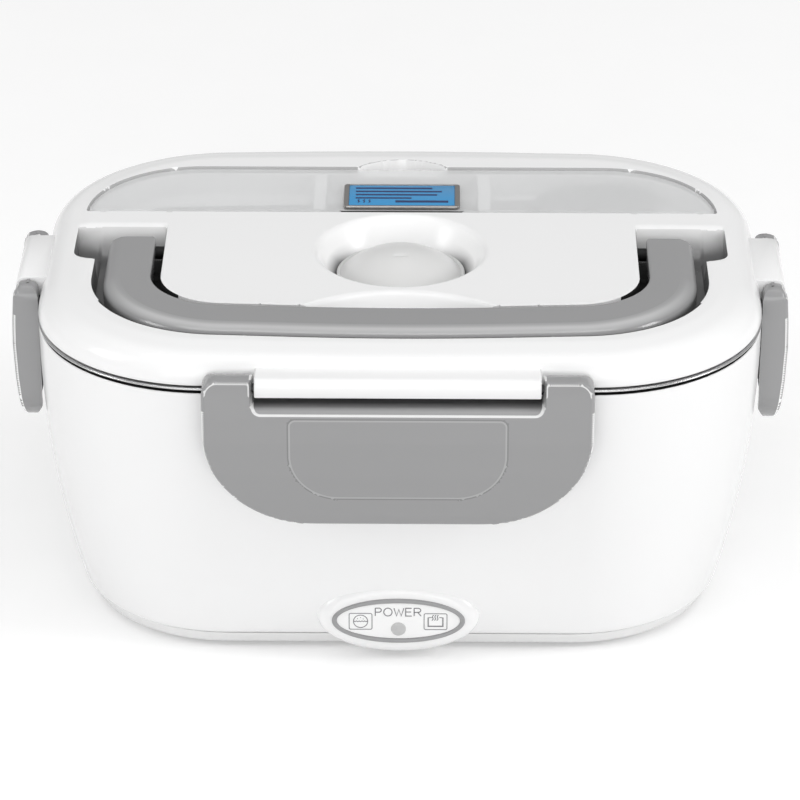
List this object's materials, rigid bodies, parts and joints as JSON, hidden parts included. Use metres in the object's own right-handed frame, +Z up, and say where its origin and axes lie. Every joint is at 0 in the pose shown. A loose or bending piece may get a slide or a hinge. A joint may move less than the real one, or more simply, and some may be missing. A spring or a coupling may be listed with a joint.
{
  "type": "electric lunch box",
  "caption": "Heated lunch box: tapered base, lift-out steel container, latched lid with bail handle, steam valve and covered spoon tray.",
  "frame": {"origin": "centre of the plane that the rubber feet rest on", "axes": "+X to the right seen from the front (the side with the power indicator), +Y to the back, +Z up"},
  "size_m": [0.236, 0.173, 0.1079],
  "materials": {
    "white_gloss": "smooth glossy moulded polypropylene",
    "white_satin": "satin moulded polypropylene",
    "grey_gloss": "glossy moulded plastic",
    "dark_rubber": "matte rubber",
    "plate_aluminium": "brushed",
    "silicone": "translucent silicone",
    "heater_ceramic": "matte ceramic",
    "steel_parts": "plated",
    "black_plastic": "matte",
    "board_green": "lacquered board",
    "lamp_lens": "smoky translucent",
    "ring_grey": "satin",
    "face_white": "printed label under clear film",
    "container_steel": "polished stainless",
    "cover_clear": "frosted translucent",
    "plate_metal": "satin",
    "insert_blue": "printed film",
    "spoon_steel": "polished"
  },
  "bodies": {
    "base": {"base_shell": "white_gloss", "base_liner": "white_satin", "bottom_cover": "white_satin", "bottom_screws": "steel_parts", "foot_front_left": "dark_rubber", "foot_front_right": "dark_rubber", "foot_back_left": "dark_rubber", "foot_back_right": "dark_rubber", "heating_plate": "plate_aluminium", "plate_seal": "silicone", "heater_element": "heater_ceramic", "heater_strap": "steel_parts", "strap_screws": "steel_parts", "thermostat": "black_plastic", "thermal_fuse": "heater_ceramic", "inlet_housing": "black_plastic", "inlet_pins": "steel_parts", "indicator_board": "board_green", "indicator_lamp": "lamp_lens", "indicator_lens": "lamp_lens", "indicator_ring": "ring_grey", "indicator_face": "face_white"},
    "container": {"steel_container": "container_steel"},
    "lid": {"lid_shell": "white_gloss", "lid_inner_panel": "white_satin", "lid_seal": "silicone", "spoon": "spoon_steel"},
    "valve": {"steam_valve": "silicone"},
    "bail": {"handle": "grey_gloss"},
    "cover": {"spoon_cover": "cover_clear", "info_plate": "plate_metal", "info_insert": "insert_blue"},
    "latch_front_arm": {"latch_front": "grey_gloss", "latch_pin_front": "steel_parts"},
    "latch_back_arm": {"latch_back": "grey_gloss", "latch_pin_back": "steel_parts"},
    "latch_left_arm": {"latch_left": "grey_gloss", "latch_pin_left": "steel_parts"},
    "latch_right_arm": {"latch_right": "grey_gloss", "latch_pin_right": "steel_parts"}
  },
  "joints": [
    {"name": "lid_lift", "type": "slide", "parent": "base", "child": "lid", "axis": [0, 0, 1], "range_m": [0, 0.1]},
    {"name": "container_lift", "type": "slide", "parent": "base", "child": "container", "axis": [0, 0, 1], "range_m": [0, 0.05]},
    {"name": "latch_front_swing", "type": "hinge", "parent": "lid", "child": "latch_front_arm", "pos_m": [0, -0.0819, 0.0992], "axis": [-1, 0, 0], "range_deg": [0, 110]},
    {"name": "latch_back_swing", "type": "hinge", "parent": "lid", "child": "latch_back_arm", "pos_m": [0, 0.0819, 0.0992], "axis": [1, 0, 0], "range_deg": [0, 110]},
    {"name": "latch_left_swing", "type": "hinge", "parent": "lid", "child": "latch_left_arm", "pos_m": [-0.1134, 0, 0.0992], "axis": [0, 1, 0], "range_deg": [0, 110]},
    {"name": "latch_right_swing", "type": "hinge", "parent": "lid", "child": "latch_right_arm", "pos_m": [0.1134, 0, 0.0992], "axis": [0, -1, 0], "range_deg": [0, 110]},
    {"name": "handle_swing", "type": "hinge", "parent": "lid", "child": "bail", "pos_m": [0, 0.0005, 0.1038], "axis": [-1, 0, 0], "range_deg": [0, 90]},
    {"name": "spoon_cover_swing", "type": "hinge", "parent": "lid", "child": "cover", "pos_m": [0, 0.0288, 0.1041], "axis": [1, 0, 0], "range_deg": [0, 90]},
    {"name": "valve_lift", "type": "slide", "parent": "lid", "child": "valve", "axis": [0, 0, 1], "range_m": [0, 0.006]}
  ],
  "couplings": [
    {"joint": "container_lift", "follows": "lid_lift", "ratio": 0.5},
    {"joint": "latch_front_swing", "follows": "lid_lift", "rad_per_m": 19.19},
    {"joint": "latch_back_swing", "follows": "lid_lift", "rad_per_m": 19.19},
    {"joint": "latch_left_swing", "follows": "lid_lift", "rad_per_m": 19.19},
    {"joint": "latch_right_swing", "follows": "lid_lift", "rad_per_m": 19.19}
  ]
}
